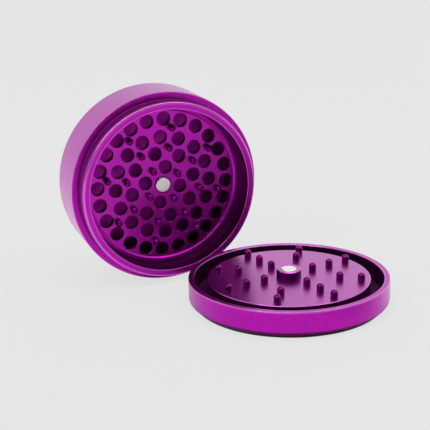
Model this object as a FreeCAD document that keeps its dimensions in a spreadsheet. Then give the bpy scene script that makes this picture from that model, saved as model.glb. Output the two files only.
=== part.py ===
import FreeCAD, Part
import Sketcher
import math
import os

# Hand mill for herbs, opened: the body lies on its round side and the lid lies upside down beside it.
# The origin is the middle of the lid's flat outer face, on the surface that both halves lie on, with +Z up.
# The mouth of the body looks along -Y. All lengths are in millimetres and all angles in degrees.

# Driving dimensions: name, value, meaning
DIMENSIONS = (
    ("outer_diameter", 63.5, "outside of the cup and of the lid"),
    ("cup_height", 18.5, "cup, from its base to the shoulder round its open end"),
    ("cup_wall", 3.3, "wall of the cup from its outside to the crests of its thread"),
    ("cup_floor", 2.0, "thickness of the cup's floor"),
    ("cup_step", 1.2, "width of the step inside the cup"),
    ("cup_base_chamfer", 1.2, "bevel round the base of the cup"),
    ("edge_break", 0.3, "small bevel on the turned edges"),
    ("shoulder_above_plate", 2.9, "height of the shoulder above the face of the milling plate"),
    ("spigot_clearance", 0.55, "radial room between the spigot and the lid's skirt, which fits over it"),
    ("spigot_height", 5.85, "height of the spigot above the shoulder"),
    ("spigot_wall", 2.35, "wall of the spigot at its rim"),
    ("mouth_taper", 0.2, "how far the mouth narrows from the rim down to the plate's seat"),
    ("thread_lead", 2.0, "travel of the cup in one turn of its right-handed thread"),
    ("thread_depth", 0.55, "height of the thread's ridge on the neck, and depth of its groove in the cup"),
    ("thread_crest", 0.5, "width of the ridge at its top"),
    ("thread_slope", 0.3, "how far each flank widens the ridge down to its foot"),
    ("thread_rise", 4.0, "height that the ridge climbs round the neck"),
    ("thread_run_in", 0.7, "plain neck below the ridge"),
    ("thread_clearance", 0.15, "room between the ridge and the groove, and between the neck and the cup"),
    ("seat_clearance", 0.05, "room between faces that meet and slide"),
    ("groove_land", 0.5, "flange under the seal groove of the spigot"),
    ("seal_section", 0.8, "thickness of the round seal on the spigot"),
    ("seal_stand_out", 0.25, "how far the round seal stands out of the spigot"),
    ("gasket_thickness", 0.6, "flat seal under the neck of the mill ring"),
    ("ledge_width", 1.0, "ledge that the milling plate lies on"),
    ("ledge_thickness", 1.0, "height of that ledge"),
    ("plate_clearance", 0.05, "radial room round the milling plate and its retainer"),
    ("plate_thickness", 2.5, "milling plate"),
    ("retainer_height", 0.5, "flat ring that holds the plate"),
    ("retainer_foot", 1.75, "width of that ring where it meets the plate"),
    ("retainer_crest", 1.6, "width of that ring at its top"),
    ("hole_diameter", 4.8, "holes of the milling plate"),
    ("hole_web", 0.8, "least metal between two holes of a ring"),
    ("plate_angle", 35.0, "turn of the plate's pattern about the body's axis"),
    ("peg_diameter", 2.3, "pegs of the plate and of the rotor"),
    ("peg_height", 2.6, "how far a peg stands out of its face"),
    ("peg_dome", 0.9, "height of the rounded end of a peg"),
    ("peg_seat_depth", 3.0, "how deep a peg sits in the rotor disc"),
    ("peg_ring_inner", 6.07, "radius of the innermost ring of pegs, on the plate"),
    ("peg_ring_margin", 3.98, "from the outermost ring of pegs, on the rotor, out to the plate's seat"),
    ("magnet_diameter", 5.0, "both magnets"),
    ("magnet_bevel", 0.25, "bevel round the magnets"),
    ("plate_magnet_depth", 2.0, "how deep the magnet sits in the plate"),
    ("plate_magnet_stand_out", 0.6, "how far it stands out of the plate"),
    ("magnet_moat_width", 0.45, "open ring round the plate's magnet"),
    ("magnet_moat_depth", 0.8, "depth of that ring"),
    ("lid_height", 8.85, "lid, from its outer face to the rim of its skirt"),
    ("lid_floor", 2.6, "thickness of the lid under its groove"),
    ("lid_face_chamfer", 2.2, "bevel round the outer face of the lid"),
    ("skirt_wall", 1.85, "wall of the lid's skirt"),
    ("rotor_clearance", 1.25, "radial room between the rotor disc and the mouth that it turns in"),
    ("rotor_recess", 0.5, "how far the rotor's face lies below the rim of the skirt"),
    ("rotor_seat_depth", 0.5, "recess of the lid that centres the rotor disc"),
    ("rotor_angle", 12.4, "turn of the rotor's pattern about the lid's axis"),
    ("hub_diameter", 7.8, "boss in the middle of the rotor"),
    ("hub_height", 2.6, "height of the boss above the rotor's face"),
    ("hub_bevel", 0.2, "bevel round the top of the boss"),
    ("hub_shank_diameter", 6.0, "shank of the boss, pressed into the lid"),
    ("hub_shank_reach", 1.4, "how deep the shank goes into the lid's floor"),
    ("lid_magnet_depth", 2.0, "depth of the magnet's pocket in the boss"),
    ("lid_magnet_stand_out", 0.1, "how far the lid's magnet stands out of the boss"),
    ("dowel_diameter", 3.0, "dowels between the lid and the rotor"),
    ("dowel_length", 4.0, "length of a dowel"),
    ("dowel_reach", 1.2, "how deep a dowel goes into the lid"),
    ("dowel_ring", 13.0, "distance of the dowels from the lid's axis"),
    ("washer_thickness", 0.5, "slip washer in the lid's groove"),
    ("washer_clearance", 0.3, "room beside the slip washer"),
    ("body_side_offset", 28.4, "the body's axis lies this far to the -X side of the lid's axis"),
    ("mouth_gap", 0.15, "gap between the lid's rim and the rim of the spigot"),
)

# The rings of pegs are evenly spaced and take turns between the plate and the rotor, so that they pass each
# other: number of pegs, and place of the ring counted from the innermost one
PLATE_PEGS = ((4, 0), (8, 2), (8, 4))
ROTOR_PEGS = ((4, 1), (8, 3), (8, 5))
PEG_RING_STEPS = 5
# The holes of a ring come in fours or eights, as many as fit: that group, and the ring's place in those steps
PLATE_HOLES = ((4, 0.0), (8, 1.46), (8, 3.04), (8, 4.85))
DOWEL_COUNT = 2
# The groove in the cup starts this far before the ridge on the neck
GROOVE_LEAD_IN = 45.0
FULL_TURN = 360.0
SHEET_NAME = "Sizes"


class Size:
    """A number together with the sheet expression that it comes from."""

    def __init__(self, value, text):
        self.value = value
        self.text = text

    def __add__(self, other):
        other = as_size(other)
        return Size(self.value + other.value, f"({self.text} + {other.text})")

    def __sub__(self, other):
        other = as_size(other)
        return Size(self.value - other.value, f"({self.text} - {other.text})")

    def __mul__(self, other):
        other = as_size(other)
        return Size(self.value * other.value, f"({self.text} * {other.text})")

    def __truediv__(self, other):
        other = as_size(other)
        return Size(self.value / other.value, f"({self.text} / {other.text})")


def as_size(value):
    """A plain number as a Size."""
    return value if isinstance(value, Size) else Size(float(value), repr(float(value)))


def root(size):
    """Square root of a Size."""
    return Size(math.sqrt(size.value), f"sqrt({size.text})")


def whole(size):
    """Whole part of a Size."""
    return Size(math.floor(size.value), f"floor({size.text})")


def cosine(angle):
    """Cosine of a Size in degrees."""
    return Size(math.cos(math.radians(angle.value)), f"cos({angle.text} * 1 deg)")


def sine(angle):
    """Sine of a Size in degrees."""
    return Size(math.sin(math.radians(angle.value)), f"sin({angle.text} * 1 deg)")


ZERO = as_size(0.0)


def make_sheet(doc):
    """Write the driving dimensions to a sheet and return them by name."""
    sheet = doc.addObject("Spreadsheet::Sheet", SHEET_NAME)
    sizes = {}
    for row, (name, value, meaning) in enumerate(DIMENSIONS, start=1):
        sheet.set(f"A{row}", meaning)
        sheet.set(f"B{row}", str(value))
        sheet.setAlias(f"B{row}", name)
        sizes[name] = Size(value, f"{SHEET_NAME}.{name}")
    doc.recompute()
    return sizes


def origin_plane(body, role):
    """One of a body's own origin planes."""
    return [item for item in body.Origin.OriginFeatures if item.Role == role][0]


def new_sketch(body, name, role):
    """An empty sketch on one of the body's origin planes."""
    sketch = body.newObject("Sketcher::SketchObject", name)
    sketch.AttachmentSupport = [(origin_plane(body, role), "")]
    sketch.MapMode = "FlatFace"
    return sketch


def bind(sketch, kind, target, size):
    """Give a sketch one measured constraint and tie it to the sheet."""
    index = sketch.addConstraint(Sketcher.Constraint(kind, *target, size.value))
    sketch.setExpression(f"Constraints[{index}]", size.text)


def pin_point(sketch, geometry, point, across, along):
    """Fix one sketch point at measured distances from the sketch's axes."""
    if across.value == 0.0:
        sketch.addConstraint(Sketcher.Constraint("PointOnObject", geometry, point, -2))
    else:
        bind(sketch, "DistanceX", (-1, 1, geometry, point), across)
    if along.value == 0.0:
        sketch.addConstraint(Sketcher.Constraint("PointOnObject", geometry, point, -1))
    else:
        bind(sketch, "DistanceY", (-1, 1, geometry, point), along)


def dome_arc(start, end):
    """Arc from one point up to another on the axis, with its centre on the axis."""
    rise = end.y - start.y
    radius = (start.x ** 2 + rise ** 2) / (2 * rise)
    middle = FreeCAD.Vector(0, end.y - radius, 0)
    first = math.atan2(start.y - middle.y, start.x)
    circle = Part.Circle(middle, FreeCAD.Vector(0, 0, 1), radius)
    return Part.ArcOfCircle(circle, first, math.pi / 2)


def draw_outline(sketch, outline, dome_edge=None):
    """Closed section, radius across and height along the axis, with each corner tied to the sheet."""
    corners = [FreeCAD.Vector(radius.value, height.value, 0) for radius, height in outline]
    count = len(corners)
    for index in range(count):
        start = corners[index]
        end = corners[(index + 1) % count]
        shape = dome_arc(start, end) if index == dome_edge else Part.LineSegment(start, end)
        sketch.addGeometry(shape, False)
    for index in range(count):
        after = (index + 1) % count
        sketch.addConstraint(Sketcher.Constraint("Coincident", index, 2, after, 1))
    for index, (radius, height) in enumerate(outline):
        pin_point(sketch, index, 1, radius, height)
    if dome_edge is not None:
        sketch.addConstraint(Sketcher.Constraint("PointOnObject", dome_edge, 3, -2))


def turned_body(doc, label, outline, dome_edge=None):
    """A solid of revolution about its own Z axis from a list of (radius, height)."""
    body = doc.addObject("PartDesign::Body", label)
    body.Label = label
    outline = [(as_size(radius), as_size(height)) for radius, height in outline]
    sketch = new_sketch(body, "Section", "XZ_Plane")
    draw_outline(sketch, outline, dome_edge)
    turned = body.newObject("PartDesign::Revolution", "Turned")
    turned.Profile = sketch
    turned.ReferenceAxis = (sketch, ["V_Axis"])
    turned.Angle = FULL_TURN
    sketch.Visibility = False
    return body


def screw_thread(doc, body, kind, section, start_angle, lead, rise):
    """Add a right-handed ridge or cut a groove along a helix that starts at an angle about the axis."""
    sketch = new_sketch(body, "ThreadSection", "XZ_Plane")
    turn = FreeCAD.Rotation(FreeCAD.Vector(0, 1, 0), start_angle)
    sketch.AttachmentOffset = FreeCAD.Placement(FreeCAD.Vector(), turn)
    draw_outline(sketch, section)
    doc.recompute()
    helix = body.newObject(f"PartDesign::{kind}", "Thread")
    helix.Profile = sketch
    helix.ReferenceAxis = (sketch, ["V_Axis"])
    helix.Mode = "pitch-height-angle"
    helix.setExpression("Pitch", lead.text)
    helix.setExpression("Height", rise.text)
    helix.Angle = 0.0
    helix.LeftHanded = False
    helix.Reversed = False
    sketch.Visibility = False
    body.Tip = helix


def ring_of_holes(body, name, count, ring, angle, diameter, top=None, depth=None):
    """Drill a ring of holes: through from the base plane, or down from a given height."""
    sketch = new_sketch(body, name + "Sketch", "XY_Plane")
    if top is not None:
        sketch.setExpression("AttachmentOffset.Base.z", top.text)
    across = ring * cosine(angle)
    along = ring * sine(angle)
    middle = FreeCAD.Vector(across.value, along.value, 0)
    sketch.addGeometry(Part.Circle(middle, FreeCAD.Vector(0, 0, 1), diameter.value / 2), False)
    bind(sketch, "Diameter", (0,), diameter)
    pin_point(sketch, 0, 3, across, along)
    pocket = body.newObject("PartDesign::Pocket", name)
    pocket.Profile = sketch
    if depth is None:
        pocket.Type = "ThroughAll"
        pocket.Reversed = True
    else:
        pocket.Type = "Length"
        pocket.setExpression("Length", depth.text)
    sketch.Visibility = False
    pattern = body.newObject("PartDesign::PolarPattern", name + "Ring")
    pattern.Originals = [pocket]
    pattern.Axis = (sketch, ["N_Axis"])
    pattern.Angle = FULL_TURN
    pattern.setExpression("Occurrences", as_size(count).text)
    body.Tip = pattern


def place(item, across, along, up, turn=0.0):
    """Put an object at a bound position, turned about the X axis."""
    rotation = FreeCAD.Rotation(FreeCAD.Vector(1, 0, 0), turn)
    position = FreeCAD.Vector(across.value, along.value, up.value)
    item.Placement = FreeCAD.Placement(position, rotation)
    for axis, size in zip("xyz", (across, along, up)):
        item.setExpression(f"Placement.Base.{axis}", size.text)


class Mill:
    """The sizes that several pieces share, and where the two halves lie."""

    def __init__(self, sizes):
        self.size = sizes
        self.outer = sizes["outer_diameter"] / 2
        # Heights above the base of the cup
        self.shoulder = sizes["cup_height"]
        self.plate_face = self.shoulder - sizes["shoulder_above_plate"]
        self.plate_back = self.plate_face - sizes["plate_thickness"]
        self.neck_foot = self.plate_back - sizes["ledge_thickness"]
        self.rim = self.shoulder + sizes["spigot_height"]
        self.gasket_top = self.neck_foot - sizes["seat_clearance"]
        self.gasket_foot = self.gasket_top - sizes["gasket_thickness"]
        self.step = self.gasket_foot - sizes["seat_clearance"]
        # Radii of the body
        self.bore = self.outer - sizes["cup_wall"]
        self.chamber = self.bore - sizes["cup_step"]
        self.neck = self.bore - sizes["thread_clearance"]
        self.skirt = self.outer - sizes["skirt_wall"]
        self.spigot = self.skirt - sizes["spigot_clearance"]
        self.mouth = self.spigot - sizes["spigot_wall"]
        self.seat = self.mouth - sizes["mouth_taper"]
        self.plate = self.seat - sizes["plate_clearance"]
        self.ring_step = (self.seat - sizes["peg_ring_margin"] - sizes["peg_ring_inner"]) / PEG_RING_STEPS
        # Middle of the thread's ridge where it starts
        ridge_half = sizes["thread_crest"] / 2 + sizes["thread_slope"]
        self.ridge_start = self.neck_foot + sizes["thread_run_in"] + ridge_half
        # Heights above the outer face of the lid, and radii of the lid
        self.rotor_face = sizes["lid_height"] - sizes["rotor_recess"]
        self.rotor_back = sizes["lid_floor"] - sizes["rotor_seat_depth"]
        self.rotor = self.mouth - sizes["rotor_clearance"]
        # The body lies with its axis level, and the rim of its spigot leans close to the lid's rim
        self.axis_height = self.outer
        drop = self.axis_height - sizes["lid_height"]
        half_chord = root(self.spigot * self.spigot - drop * drop)
        side = sizes["body_side_offset"] - half_chord
        self.mouth_y = root(self.outer * self.outer - side * side) + sizes["mouth_gap"]
        self.base_y = self.mouth_y + self.rim
        self.axis_x = ZERO - sizes["body_side_offset"]

    def lay_body(self, item):
        """Place a piece drawn in the cup's own frame, base at 0 and mouth up."""
        place(item, self.axis_x, self.base_y, self.axis_height, turn=90.0)

    def ring_radius(self, steps):
        """Radius of a ring of pegs or holes, from its place outside the innermost ring."""
        return self.size["peg_ring_inner"] + self.ring_step * steps

    def thread_section(self, surface, middle, room):
        """Section of the thread on a round surface, wider by the room on both flanks."""
        size = self.size
        sink = size["thread_clearance"]
        crest_half = size["thread_crest"] / 2 + room
        foot_half = crest_half + size["thread_slope"] * (size["thread_depth"] + sink) / size["thread_depth"]
        foot = surface - sink
        crest = surface + size["thread_depth"]
        return ((foot, middle - foot_half), (crest, middle - crest_half),
                (crest, middle + crest_half), (foot, middle + foot_half))


def make_cup(doc, mill):
    """Outer cup with a flat floor, a step for the gasket and a threaded bore."""
    size = mill.size
    bevel = size["cup_base_chamfer"]
    edge = size["edge_break"]
    cup = turned_body(doc, "collection_cup", (
        (ZERO, ZERO), (mill.outer - bevel, ZERO), (mill.outer, bevel),
        (mill.outer, mill.shoulder - edge), (mill.outer - edge, mill.shoulder),
        (mill.bore, mill.shoulder), (mill.bore, mill.step), (mill.chamber, mill.step),
        (mill.chamber, size["cup_floor"]), (ZERO, size["cup_floor"])))
    lead = size["thread_lead"]
    start = mill.ridge_start - lead * (GROOVE_LEAD_IN / FULL_TURN)
    section = mill.thread_section(mill.bore, start, size["thread_clearance"])
    # The groove climbs one turn past the shoulder, so that it runs out of the cup's open end
    screw_thread(doc, cup, "SubtractiveHelix", section, -GROOVE_LEAD_IN, lead, mill.shoulder + lead - start)
    mill.lay_body(cup)
    return [cup]


def make_gasket(doc, mill):
    """Flat seal that lies on the cup's step, under the neck of the mill ring."""
    inner = mill.chamber
    outer = mill.neck - mill.size["seat_clearance"]
    gasket = turned_body(doc, "cup_gasket", (
        (inner, mill.gasket_foot), (outer, mill.gasket_foot),
        (outer, mill.gasket_top), (inner, mill.gasket_top)))
    mill.lay_body(gasket)
    return [gasket]


def make_mill_ring(doc, mill):
    """Ring with the spigot, its seal groove, a tapered mouth, the plate's seat and the threaded neck."""
    size = mill.size
    edge = size["edge_break"]
    flange = mill.shoulder + size["seat_clearance"]
    groove_foot = flange + size["groove_land"]
    groove_top = groove_foot + size["seal_section"] + size["seat_clearance"] * 2
    groove = mill.spigot + size["seal_stand_out"] - size["seal_section"] - size["seat_clearance"]
    ledge = mill.seat - size["ledge_width"]
    taper_foot = mill.plate_face + size["retainer_height"]
    ring = turned_body(doc, "mill_ring", (
        (ledge, mill.neck_foot), (mill.neck, mill.neck_foot), (mill.neck, flange),
        (mill.spigot, flange), (mill.spigot, groove_foot), (groove, groove_foot),
        (groove, groove_top), (mill.spigot, groove_top), (mill.spigot, mill.rim - edge),
        (mill.spigot - edge, mill.rim), (mill.mouth + edge, mill.rim), (mill.mouth, mill.rim - edge),
        (mill.seat, taper_foot), (mill.seat, mill.plate_back), (ledge, mill.plate_back)))
    section = mill.thread_section(mill.neck, mill.ridge_start, ZERO)
    screw_thread(doc, ring, "AdditiveHelix", section, 0.0, size["thread_lead"], size["thread_rise"])
    mill.lay_body(ring)
    return [ring]


def make_spigot_seal(doc, mill):
    """Round rubber seal in the groove of the spigot."""
    size = mill.size
    half = size["seal_section"] / 2
    radius = mill.spigot + size["seal_stand_out"] - half
    groove_foot = mill.shoulder + size["seat_clearance"] + size["groove_land"]
    height = groove_foot + size["seat_clearance"] + half
    seal = doc.addObject("Part::Torus", "spigot_o_ring")
    seal.Label = "spigot_o_ring"
    seal.setExpression("Radius1", radius.text)
    seal.setExpression("Radius2", half.text)
    place(seal, mill.axis_x, mill.base_y - height, mill.axis_height, turn=90.0)
    return [seal]


def make_plate(doc, mill):
    """Drilled plate with four rings of holes, seats for its pegs and a pocket for the magnet."""
    size = mill.size
    magnet = size["magnet_diameter"] / 2
    moat = magnet + size["magnet_moat_width"]
    moat_floor = mill.plate_face - size["magnet_moat_depth"]
    pocket = mill.plate_face - size["plate_magnet_depth"]
    plate = turned_body(doc, "milling_plate", (
        (ZERO, mill.plate_back), (mill.plate, mill.plate_back), (mill.plate, mill.plate_face),
        (moat, mill.plate_face), (moat, moat_floor), (magnet, moat_floor),
        (magnet, pocket), (ZERO, pocket)))
    for number, (group, steps) in enumerate(PLATE_HOLES, start=1):
        ring = mill.ring_radius(steps)
        room = (size["hole_diameter"] + size["hole_web"]) * group
        count = whole(ring * (2 * math.pi) / room) * group
        angle = size["plate_angle"] + as_size(FULL_TURN / 2) / count
        ring_of_holes(plate, f"Holes{number}", count, ring, angle, size["hole_diameter"])
    for number, (count, steps) in enumerate(PLATE_PEGS, start=1):
        ring_of_holes(plate, f"PegSeats{number}", count, mill.ring_radius(steps), size["plate_angle"],
                      size["peg_diameter"])
    mill.lay_body(plate)
    return [plate]


def make_retainer(doc, mill):
    """Flat ring with a sloping inner side that holds the plate on its ledge."""
    size = mill.size
    top = mill.plate_face + size["retainer_height"]
    retainer = turned_body(doc, "plate_retainer", (
        (mill.plate - size["retainer_foot"], mill.plate_face), (mill.plate, mill.plate_face),
        (mill.plate, top), (mill.plate - size["retainer_crest"], top)))
    mill.lay_body(retainer)
    return [retainer]


def make_magnet(doc, label, mill, foot, top):
    """Disc magnet with a bevelled front edge."""
    radius = mill.size["magnet_diameter"] / 2
    bevel = mill.size["magnet_bevel"]
    return turned_body(doc, label, (
        (ZERO, foot), (radius, foot), (radius, top - bevel), (radius - bevel, top), (ZERO, top)))


def make_magnets(doc, mill):
    """The magnet in the milling plate and the magnet in the lid's hub."""
    size = mill.size
    foot = mill.plate_face - size["plate_magnet_depth"]
    top = mill.plate_face + size["plate_magnet_stand_out"]
    plate_magnet = make_magnet(doc, "plate_magnet", mill, foot, top)
    mill.lay_body(plate_magnet)
    hub_top = mill.rotor_face + size["hub_height"]
    foot = hub_top - size["lid_magnet_depth"]
    top = hub_top + size["lid_magnet_stand_out"]
    lid_magnet = make_magnet(doc, "lid_magnet", mill, foot, top)
    return [plate_magnet, lid_magnet]


def make_peg(doc, label, mill, sunk):
    """Round peg with a domed end, its foot at 0."""
    radius = mill.size["peg_diameter"] / 2
    top = sunk + mill.size["peg_height"]
    return turned_body(doc, label, (
        (ZERO, ZERO), (radius, ZERO), (radius, top - mill.size["peg_dome"]), (ZERO, top)), dome_edge=2)


def peg_places(mill, rings, start):
    """Number, distance from the axis and angle of each peg, ring by ring."""
    number = 0
    for count, steps in rings:
        for index in range(count):
            number += 1
            yield number, mill.ring_radius(steps), start + FULL_TURN / count * index


def make_plate_pegs(doc, mill):
    """The pegs of the plate, pressed in through its full thickness."""
    pegs = []
    foot_y = mill.base_y - mill.plate_back
    for number, ring, angle in peg_places(mill, PLATE_PEGS, mill.size["plate_angle"]):
        peg = make_peg(doc, f"plate_peg_{number:02d}", mill, mill.size["plate_thickness"])
        across = mill.axis_x + ring * cosine(angle)
        place(peg, across, foot_y, mill.axis_height + ring * sine(angle), turn=90.0)
        pegs.append(peg)
    return pegs


def make_rotor_pegs(doc, mill):
    """The pegs of the rotor disc, pressed into blind seats."""
    pegs = []
    foot = mill.rotor_face - mill.size["peg_seat_depth"]
    for number, ring, angle in peg_places(mill, ROTOR_PEGS, mill.size["rotor_angle"]):
        peg = make_peg(doc, f"rotor_peg_{number:02d}", mill, mill.size["peg_seat_depth"])
        place(peg, ring * cosine(angle), ring * sine(angle), foot)
        pegs.append(peg)
    return pegs


def dowel_angle(size):
    """The dowels lie midway between two arms of pegs."""
    return size["rotor_angle"] + FULL_TURN / 16


def make_lid_shell(doc, mill):
    """Lid with its skirt, a shallow seat for the rotor and blind holes for the hub and dowels."""
    size = mill.size
    bevel = size["lid_face_chamfer"]
    edge = size["edge_break"]
    height = size["lid_height"]
    shank = size["hub_shank_diameter"] / 2
    shank_foot = mill.rotor_back - size["hub_shank_reach"]
    lid = turned_body(doc, "lid_shell", (
        (ZERO, ZERO), (mill.outer - bevel, ZERO), (mill.outer, bevel),
        (mill.outer, height - edge), (mill.outer - edge, height), (mill.skirt + edge, height),
        (mill.skirt, height - edge), (mill.skirt, size["lid_floor"]), (mill.rotor, size["lid_floor"]),
        (mill.rotor, mill.rotor_back), (shank, mill.rotor_back), (shank, shank_foot), (ZERO, shank_foot)))
    ring_of_holes(lid, "DowelSeats", DOWEL_COUNT, size["dowel_ring"], dowel_angle(size),
                  size["dowel_diameter"], mill.rotor_back, size["dowel_reach"])
    return [lid]


def make_rotor_disc(doc, mill):
    """Disc that carries the rotor pegs, bored for the hub's shank."""
    size = mill.size
    edge = size["edge_break"]
    shank = size["hub_shank_diameter"] / 2
    disc = turned_body(doc, "rotor_disc", (
        (shank, mill.rotor_back), (mill.rotor, mill.rotor_back), (mill.rotor, mill.rotor_face - edge),
        (mill.rotor - edge, mill.rotor_face), (shank, mill.rotor_face)))
    for number, (count, steps) in enumerate(ROTOR_PEGS, start=1):
        ring_of_holes(disc, f"PegSeats{number}", count, mill.ring_radius(steps), size["rotor_angle"],
                      size["peg_diameter"], mill.rotor_face, size["peg_seat_depth"])
    dowel_top = mill.rotor_back - size["dowel_reach"] + size["dowel_length"]
    ring_of_holes(disc, "DowelSeats", DOWEL_COUNT, size["dowel_ring"], dowel_angle(size),
                  size["dowel_diameter"], dowel_top, dowel_top)
    return [disc]


def make_rotor_dowels(doc, mill):
    """Dowels that carry the turning force from the lid to the rotor disc."""
    size = mill.size
    dowels = []
    for index in range(DOWEL_COUNT):
        angle = dowel_angle(size) + FULL_TURN / DOWEL_COUNT * index
        dowel = doc.addObject("Part::Cylinder", f"rotor_dowel_{index + 1}")
        dowel.Label = f"rotor_dowel_{index + 1}"
        dowel.setExpression("Radius", (size["dowel_diameter"] / 2).text)
        dowel.setExpression("Height", size["dowel_length"].text)
        ring = size["dowel_ring"]
        place(dowel, ring * cosine(angle), ring * sine(angle), mill.rotor_back - size["dowel_reach"])
        dowels.append(dowel)
    return dowels


def make_rotor_hub(doc, mill):
    """Boss that clamps the rotor disc, with a shank in the lid and a pocket for the magnet."""
    size = mill.size
    bevel = size["hub_bevel"]
    radius = size["hub_diameter"] / 2
    shank = size["hub_shank_diameter"] / 2
    magnet = size["magnet_diameter"] / 2
    foot = mill.rotor_back - size["hub_shank_reach"]
    top = mill.rotor_face + size["hub_height"]
    pocket = top - size["lid_magnet_depth"]
    hub = turned_body(doc, "rotor_hub", (
        (ZERO, foot), (shank, foot), (shank, mill.rotor_face), (radius, mill.rotor_face),
        (radius, top - bevel), (radius - bevel, top), (magnet, top), (magnet, pocket), (ZERO, pocket)))
    return [hub]


def make_slip_washer(doc, mill):
    """Slippery washer at the bottom of the lid's groove."""
    size = mill.size
    inner = mill.rotor + size["washer_clearance"]
    outer = mill.skirt - size["washer_clearance"]
    foot = size["lid_floor"] + size["seat_clearance"]
    top = foot + size["washer_thickness"]
    return [turned_body(doc, "slip_washer", ((inner, foot), (outer, foot), (outer, top), (inner, top)))]


def check_and_write(doc, parts):
    """Stop on any failed object, then write each piece to its own file."""
    for item in doc.Objects:
        if "Invalid" in item.State or "Error" in item.State:
            raise RuntimeError(f"{item.Label} failed: {item.State}")
    for item in parts:
        if item.Shape.isNull() or not item.Shape.isValid() or len(item.Shape.Solids) != 1:
            raise RuntimeError(f"{item.Label} is not one valid solid")
    os.makedirs("parts", exist_ok=True)
    for item in parts:
        item.Shape.exportStep(f"parts/{item.Label}.step")
        print(f"{item.Label}: {item.Shape.Volume:.1f} mm3")


def main():
    """Build the document and write its pieces."""
    doc = FreeCAD.newDocument("HandMill")
    mill = Mill(make_sheet(doc))
    makers = (make_cup, make_gasket, make_mill_ring, make_spigot_seal, make_plate, make_retainer,
              make_magnets, make_plate_pegs, make_lid_shell, make_rotor_disc, make_rotor_dowels,
              make_rotor_hub, make_rotor_pegs, make_slip_washer)
    parts = []
    for make in makers:
        parts.extend(make(doc, mill))
    doc.recompute()
    check_and_write(doc, parts)


main()
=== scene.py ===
import math

import bpy
import numpy as np
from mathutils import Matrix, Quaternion, Vector
from mathutils.geometry import delaunay_2d_cdt


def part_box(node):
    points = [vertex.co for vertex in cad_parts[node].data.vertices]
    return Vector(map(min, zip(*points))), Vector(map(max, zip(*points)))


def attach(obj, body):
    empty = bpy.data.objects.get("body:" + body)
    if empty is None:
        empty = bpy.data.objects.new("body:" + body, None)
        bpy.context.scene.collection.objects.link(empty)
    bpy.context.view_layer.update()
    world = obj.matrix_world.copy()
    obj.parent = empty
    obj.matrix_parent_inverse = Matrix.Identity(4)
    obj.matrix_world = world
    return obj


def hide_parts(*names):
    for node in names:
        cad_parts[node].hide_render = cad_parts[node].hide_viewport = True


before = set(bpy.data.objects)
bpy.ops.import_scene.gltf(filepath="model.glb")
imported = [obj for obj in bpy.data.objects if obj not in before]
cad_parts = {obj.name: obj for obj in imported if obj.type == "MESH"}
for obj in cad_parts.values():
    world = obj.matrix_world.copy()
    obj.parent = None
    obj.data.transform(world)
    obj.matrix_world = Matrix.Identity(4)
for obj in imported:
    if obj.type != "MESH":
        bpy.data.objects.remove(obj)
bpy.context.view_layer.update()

bl_info = {
    "name": "Opened hand mill",
    "version": (1, 0, 0),
    "blender": (4, 5, 0),
    "location": "View3D > Sidebar > Mill",
    "description": "Turned, drilled and anodised surfaces of a hand mill for herbs, with its stage",
    "category": "Add Mesh",
}

MM = 0.001
FULL_TURN = 2 * math.pi

# Fineness of the surfaces
TURN_SEGMENTS = 288
HUB_SEGMENTS = 96
FLOOR_SEGMENTS = 64
HOLE_SEGMENTS = 48
PEG_SEGMENTS = 40
SEAL_STEPS = 28
DOME_POINTS = 9
ARC_STEPS = 5

# Limits of the surfaces: distances in metres, and for the flat nets in millimetres
SAME_RADIUS = 1e-7
ON_AXIS = 1e-9
NET_LIMIT = 1e-6
BORE_MARGIN = MM / 100

# Shares of a side that its support points may reach, of the touching length that they keep clear, and of a
# hole's radius within which no triangle of a flat net has its middle
SUPPORT_SHARE = 0.45
SUPPORT_CLEAR = 1.02
HOLE_MARGIN = 0.999

# Broken edge at a peg's foot, and the straight run below its dome
PEG_BREAK = 0.05 * MM
DOME_RUN = 0.15 * MM

# How noise and wear change the metal's roughness and colour, where pairs are a factor and the least value,
# and the depth of its bump
RELIEF_ROUGHNESS = 0.10
WORN_ROUGHNESS = -0.14
SPECK_WEAR = (0.25, 0.75)
CLOUD_TINT = (0.22, 0.90)
GRAIN_TINT = 1.4
BUMP_DISTANCE = 0.02 * MM

# Stage: camera frame in millimetres, camera range and radii of the floor in metres, and the black of the
# painted shade on the floor
FRAME_WIDTH = 36.0
CAMERA_RANGE = (0.01, 50.0)
FLOOR_RADII = (0.0, 0.3, 1.0, 6.0)
PAINTED_SHADE_BLACK = (0.0, 0.0, 0.0, 1.0)

# Where the two halves lie, read from the frame
CUP_LOW, CUP_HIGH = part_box("collection_cup")
RING_LOW, RING_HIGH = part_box("mill_ring")
PLATE_LOW, PLATE_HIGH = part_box("milling_plate")
LID_LOW, LID_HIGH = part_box("lid_shell")
ROTOR_LOW, ROTOR_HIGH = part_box("rotor_disc")
CUP_AXIS_X = (PLATE_LOW.x + PLATE_HIGH.x) / 2
CUP_AXIS_Z = (PLATE_LOW.z + PLATE_HIGH.z) / 2
CUP_BASE_Y = CUP_HIGH.y
CUP_ORIGIN = (CUP_AXIS_X, CUP_BASE_Y, CUP_AXIS_Z)

# Rings of holes and pegs: how many, and how many steps outside the innermost ring of pegs
PLATE_HOLES = ((4, 0.0), (8, 1.46), (16, 3.04), (24, 4.85))
PLATE_PEGS = ((4, 0), (8, 2), (8, 4))
ROTOR_PEGS = ((4, 1), (8, 3), (8, 5))


def length(title, value, text):
    """A length property, given in metres."""
    return bpy.props.FloatProperty(name=title, description=text, default=value, unit="LENGTH", precision=5)


def mm(title, value, text):
    """A length property, given in millimetres."""
    return length(title, value * MM, text)


def turn_angle(title, value, text):
    """An angle property, given in degrees."""
    return bpy.props.FloatProperty(name=title, description=text, default=math.radians(value), unit="ROTATION")


def share(title, value, text):
    """A share from 0 to 1."""
    return bpy.props.FloatProperty(name=title, description=text, default=value, min=0.0, max=1.0,
                                   subtype="FACTOR")


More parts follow.
